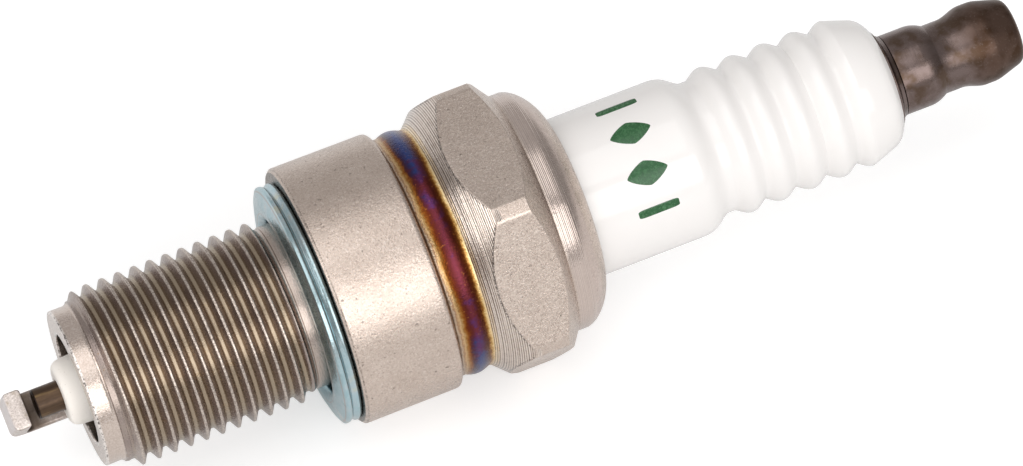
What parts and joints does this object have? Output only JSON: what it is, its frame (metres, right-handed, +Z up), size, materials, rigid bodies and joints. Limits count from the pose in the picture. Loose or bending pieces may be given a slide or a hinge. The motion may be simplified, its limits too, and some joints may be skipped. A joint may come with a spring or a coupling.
{
  "type": "spark plug",
  "caption": "Spark plug with a long threaded reach, captive folded gasket, hexagonal steel body, ribbed glazed insulator and screwed terminal nut.",
  "frame": {"origin": "on the plug's axis, at the face of the body that the gasket seals against", "axes": "+X along the axis towards the terminal, +Z up with one flat of the hexagon facing down"},
  "size_m": [0.0801, 0.0232, 0.0206],
  "materials": {
    "nickel_plated_steel": "satin nickel plate with turning lines",
    "zinc_plated_sheet": "blue zinc",
    "nickel_alloy": "bare, bright at the cut end",
    "glazed_alumina": "white gloss glaze",
    "fired_nickel_alloy": "brown heat stain",
    "copper": "bare",
    "seal_glass": "opaque fused glass",
    "darkened_steel": "tarnished brown-grey",
    "plain_steel": "bare",
    "talc": "pressed powder"
  },
  "bodies": {
    "plug": {"metal_shell": "nickel_plated_steel", "ground_electrode": "nickel_alloy", "insulator": "glazed_alumina", "center_electrode": "fired_nickel_alloy", "copper_core": "copper", "glass_seal": "seal_glass", "terminal_stud": "darkened_steel", "seat_washer": "plain_steel", "lower_packing_ring": "plain_steel", "talc_fill": "talc", "upper_packing_ring": "plain_steel"},
    "gasket_ring": {"gasket": "zinc_plated_sheet"},
    "cap_nut": {"terminal_nut": "darkened_steel"}
  },
  "joints": [
    {"name": "gasket_turn", "type": "hinge", "parent": "plug", "child": "gasket_ring", "pos_m": [0, 0, -0.00039], "axis": [1, 0, 0], "continuous": true},
    {"name": "nut_off", "type": "slide", "parent": "plug", "child": "cap_nut", "axis": [1, 0, 0], "range_m": [0, 0.008]}
  ]
}
